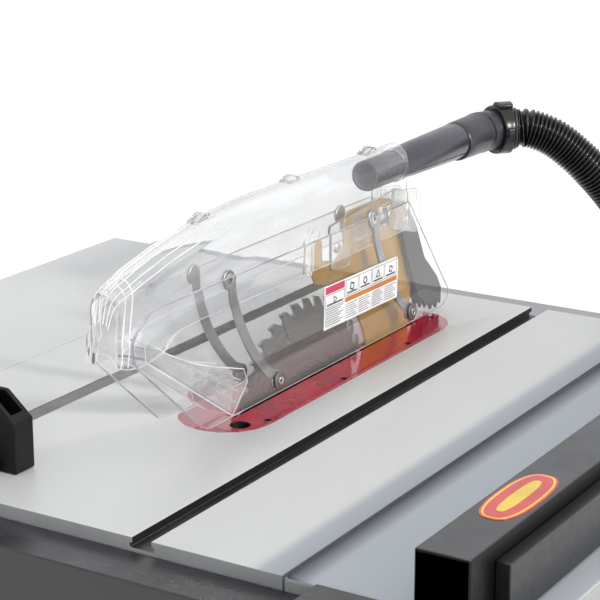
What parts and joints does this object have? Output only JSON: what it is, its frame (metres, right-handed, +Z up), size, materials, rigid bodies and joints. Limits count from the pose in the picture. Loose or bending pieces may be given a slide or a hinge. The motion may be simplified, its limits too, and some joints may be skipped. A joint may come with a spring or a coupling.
{
  "type": "table saw",
  "caption": "Cabinet table saw with cast-iron top, T-square rip fence, mitre gauge, clear dust-collecting blade guard on a riving knife, and a hose to the cabinet port.",
  "frame": {"origin": "centre of the saw's footprint on the floor, measured without the dust hose", "axes": "+Z up, +Y from the operator to the back of the saw, +X to the operator's right along the fence rails"},
  "size_m": [1.447, 1.2109, 1.078],
  "materials": {
    "cast_iron_top": "ground",
    "cabinet_paint": "satin powder coat",
    "black_paint": "satin black",
    "grey_casting": "painted casting",
    "machined_steel": "machined",
    "blade_steel": "ground",
    "red_insert": "gloss",
    "clear_guard": "clear polycarbonate",
    "yellow_knife": "satin yellow",
    "link_grey": "cast",
    "dark_steel": "blackened",
    "black_plastic": "moulded",
    "tube_grey": "smooth",
    "hose_black": "ribbed",
    "belt_rubber": "matte",
    "fence_board": "satin",
    "stop_red": "gloss",
    "start_green": "gloss"
  },
  "bodies": {
    "stand": {"table_top": "cast_iron_top", "left_wing": "cast_iron_top", "right_wing": "cast_iron_top", "front_rail": "black_paint", "rear_rail": "grey_casting", "insert_plate": "red_insert", "front_trunnion": "grey_casting", "rear_trunnion": "grey_casting", "cabinet": "cabinet_paint", "plinth": "black_paint", "dust_port": "black_plastic", "switch_box": "black_plastic", "lower_hose": "hose_black"},
    "cradle": {"tilt_cradle": "grey_casting", "hose_coupler": "black_plastic"},
    "carriage": {"carriage": "grey_casting", "motor": "grey_casting", "drive_belt": "belt_rubber", "left_bearing": "machined_steel", "right_bearing": "machined_steel", "riving_knife": "yellow_knife", "knife_clamp": "machined_steel", "guard_hood": "clear_guard", "guard_cheek": "clear_guard", "dust_nozzle": "tube_grey", "guard_cuff": "black_plastic", "upper_hose": "hose_black"},
    "arbor": {"arbor_shaft": "machined_steel", "blade": "blade_steel", "outer_flange": "machined_steel", "arbor_nut": "machined_steel", "arbor_pulley": "machined_steel"},
    "motor_rotor": {"motor_pulley": "machined_steel"},
    "lift_screw": {"lift_screw": "machined_steel"},
    "lift_wheel": {"lift_handwheel": "grey_casting"},
    "lift_crank": {"lift_crank_knob": "black_plastic"},
    "tilt_wheel": {"tilt_handwheel": "grey_casting"},
    "tilt_crank": {"tilt_crank_knob": "black_plastic"},
    "release_lever": {"knife_release_lever": "stop_red"},
    "deflector": {"front_deflector": "clear_guard"},
    "right_front_arm": {"right_front_link": "link_grey"},
    "right_rear_arm": {"right_rear_link": "link_grey"},
    "right_panel": {"right_side_panel": "clear_guard"},
    "left_front_arm": {"left_front_link": "link_grey"},
    "left_rear_arm": {"left_rear_link": "link_grey"},
    "left_panel": {"left_side_panel": "clear_guard"},
    "right_pawl": {"right_pawl": "dark_steel"},
    "left_pawl": {"left_pawl": "dark_steel"},
    "fence": {"fence_beam": "black_paint", "fence_left_face": "fence_board", "fence_right_face": "fence_board", "fence_head": "black_paint"},
    "fence_lever": {"fence_handle": "black_plastic"},
    "mitre_bar": {"mitre_bar": "machined_steel"},
    "mitre_head": {"mitre_head": "black_plastic"},
    "mitre_knob": {"mitre_knob": "black_plastic"},
    "door": {"motor_door": "cabinet_paint"},
    "door_latch": {"door_latch": "black_plastic"},
    "start_button": {"start_button": "start_green"},
    "stop_paddle": {"stop_paddle": "stop_red"}
  },
  "joints": [
    {"name": "tilt_wheel_turn", "type": "hinge", "parent": "stand", "child": "tilt_wheel", "pos_m": [0.0265, 0.0777, 0.5412], "axis": [1, 0, 0], "range_deg": [0, 9000]},
    {"name": "blade_tilt", "type": "hinge", "parent": "stand", "child": "cradle", "pos_m": [-0.2377, 0.0717, 0.87], "axis": [0, -1, 0], "range_deg": [0, 45.1]},
    {"name": "tilt_crank_spin", "type": "hinge", "parent": "tilt_wheel", "child": "tilt_crank", "pos_m": [0.0765, 0.0777, 0.6182], "axis": [1, 0, 0], "continuous": true},
    {"name": "lift_wheel_turn", "type": "hinge", "parent": "cradle", "child": "lift_wheel", "pos_m": [-0.2685, -0.2533, 0.54], "axis": [0, -1, 0], "range_deg": [-3735, 0]},
    {"name": "blade_lift", "type": "slide", "parent": "cradle", "child": "carriage", "axis": [0, 0, 1], "range_m": [-0.0831, 0], "deforming": ["upper_hose"]},
    {"name": "lift_screw_turn", "type": "hinge", "parent": "cradle", "child": "lift_screw", "pos_m": [-0.2685, 0.0267, 0.67], "axis": [0, 0, 1], "range_deg": [-3736, 1]},
    {"name": "lift_crank_spin", "type": "hinge", "parent": "lift_wheel", "child": "lift_crank", "pos_m": [-0.1915, -0.2883, 0.54], "axis": [0, 1, 0], "continuous": true},
    {"name": "blade_spin", "type": "hinge", "parent": "carriage", "child": "arbor", "pos_m": [-0.2235, 0.0717, 0.8256], "axis": [1, 0, 0], "continuous": true},
    {"name": "motor_spin", "type": "hinge", "parent": "carriage", "child": "motor_rotor", "pos_m": [-0.3135, 0.1917, 0.7], "axis": [1, 0, 0], "continuous": true},
    {"name": "release_lever_swing", "type": "hinge", "parent": "carriage", "child": "release_lever", "pos_m": [-0.2235, 0.2517, 0.823], "axis": [-1, 0, 0], "range_deg": [0, 18]},
    {"name": "deflector_swing", "type": "hinge", "parent": "carriage", "child": "deflector", "pos_m": [-0.2235, -0.2083, 0.976], "axis": [1, 0, 0], "range_deg": [0, 30.2]},
    {"name": "right_front_arm_swing", "type": "hinge", "parent": "carriage", "child": "right_front_arm", "pos_m": [-0.2235, -0.0873, 1.0143], "axis": [1, 0, 0], "range_deg": [0, 45.2]},
    {"name": "right_rear_arm_swing", "type": "hinge", "parent": "carriage", "child": "right_rear_arm", "pos_m": [-0.2235, 0.1807, 1.0143], "axis": [1, 0, 0], "range_deg": [0, 45.2]},
    {"name": "right_panel_swing", "type": "hinge", "parent": "right_front_arm", "child": "right_panel", "pos_m": [-0.2235, -0.0073, 0.8945], "axis": [1, 0, 0], "range_deg": [-45.2, 0]},
    {"name": "right_pawl_swing", "type": "hinge", "parent": "carriage", "child": "right_pawl", "pos_m": [-0.2235, 0.2697, 0.994], "axis": [1, 0, 0], "range_deg": [0, 55.2]},
    {"name": "left_front_arm_swing", "type": "hinge", "parent": "carriage", "child": "left_front_arm", "pos_m": [-0.2235, -0.0873, 1.0143], "axis": [1, 0, 0], "range_deg": [0, 45.2]},
    {"name": "left_rear_arm_swing", "type": "hinge", "parent": "carriage", "child": "left_rear_arm", "pos_m": [-0.2235, 0.1807, 1.0143], "axis": [1, 0, 0], "range_deg": [0, 45.2]},
    {"name": "left_panel_swing", "type": "hinge", "parent": "left_front_arm", "child": "left_panel", "pos_m": [-0.2235, -0.0073, 0.8945], "axis": [1, 0, 0], "range_deg": [-45.2, 0]},
    {"name": "left_pawl_swing", "type": "hinge", "parent": "carriage", "child": "left_pawl", "pos_m": [-0.2235, 0.2697, 0.994], "axis": [1, 0, 0], "range_deg": [0, 55.2]},
    {"name": "fence_slide", "type": "slide", "parent": "stand", "child": "fence", "axis": [1, 0, 0], "range_m": [-0.32, 0.396]},
    {"name": "fence_lever_swing", "type": "hinge", "parent": "fence", "child": "fence_lever", "pos_m": [0.1705, -0.4376, 0.85], "axis": [-1, 0, 0], "range_deg": [0, 75]},
    {"name": "mitre_slide", "type": "slide", "parent": "stand", "child": "mitre_bar", "axis": [0, -1, 0], "range_m": [-0.36, 0.05]},
    {"name": "mitre_swivel", "type": "hinge", "parent": "mitre_bar", "child": "mitre_head", "pos_m": [-0.383, -0.2833, 0.87], "axis": [0, 0, 1], "range_deg": [-60, 60]},
    {"name": "mitre_knob_turn", "type": "hinge", "parent": "mitre_head", "child": "mitre_knob", "pos_m": [-0.383, -0.3103, 0.92], "axis": [0, 0, 1], "continuous": true},
    {"name": "door_swing", "type": "hinge", "parent": "stand", "child": "door", "pos_m": [-0.4968, 0.2877, 0.52], "axis": [0, 0, -1], "range_deg": [0, 110]},
    {"name": "door_latch_turn", "type": "hinge", "parent": "door", "child": "door_latch", "pos_m": [-0.5158, -0.0383, 0.515], "axis": [1, 0, 0], "range_deg": [0, 90]},
    {"name": "start_press", "type": "slide", "parent": "stand", "child": "start_button", "axis": [0, 1, 0], "range_m": [0, 0.003], "stiffness_N_per_m": 400},
    {"name": "stop_press", "type": "hinge", "parent": "stand", "child": "stop_paddle", "pos_m": [-0.4735, -0.4499, 0.739], "axis": [1, 0, 0], "range_deg": [0, 6], "stiffness_Nm_per_rad": 1, "springref_deg": -2.86}
  ],
  "couplings": [
    {"joint": "blade_tilt", "follows": "tilt_wheel_turn", "ratio": 0.005},
    {"joint": "blade_lift", "follows": "lift_wheel_turn", "m_per_rad": 0.0012732},
    {"joint": "lift_screw_turn", "follows": "lift_wheel_turn", "ratio": 1},
    {"joint": "motor_spin", "follows": "blade_spin", "ratio": 0.8},
    {"joint": "deflector_swing", "follows": "lift_wheel_turn", "ratio": -0.0080321},
    {"joint": "right_front_arm_swing", "follows": "lift_wheel_turn", "ratio": -0.012048},
    {"joint": "right_rear_arm_swing", "follows": "lift_wheel_turn", "ratio": -0.012048},
    {"joint": "right_panel_swing", "follows": "lift_wheel_turn", "ratio": 0.012048},
    {"joint": "right_pawl_swing", "follows": "lift_wheel_turn", "ratio": -0.014726},
    {"joint": "left_front_arm_swing", "follows": "lift_wheel_turn", "ratio": -0.012048},
    {"joint": "left_rear_arm_swing", "follows": "lift_wheel_turn", "ratio": -0.012048},
    {"joint": "left_panel_swing", "follows": "lift_wheel_turn", "ratio": 0.012048},
    {"joint": "left_pawl_swing", "follows": "lift_wheel_turn", "ratio": -0.014726}
  ]
}
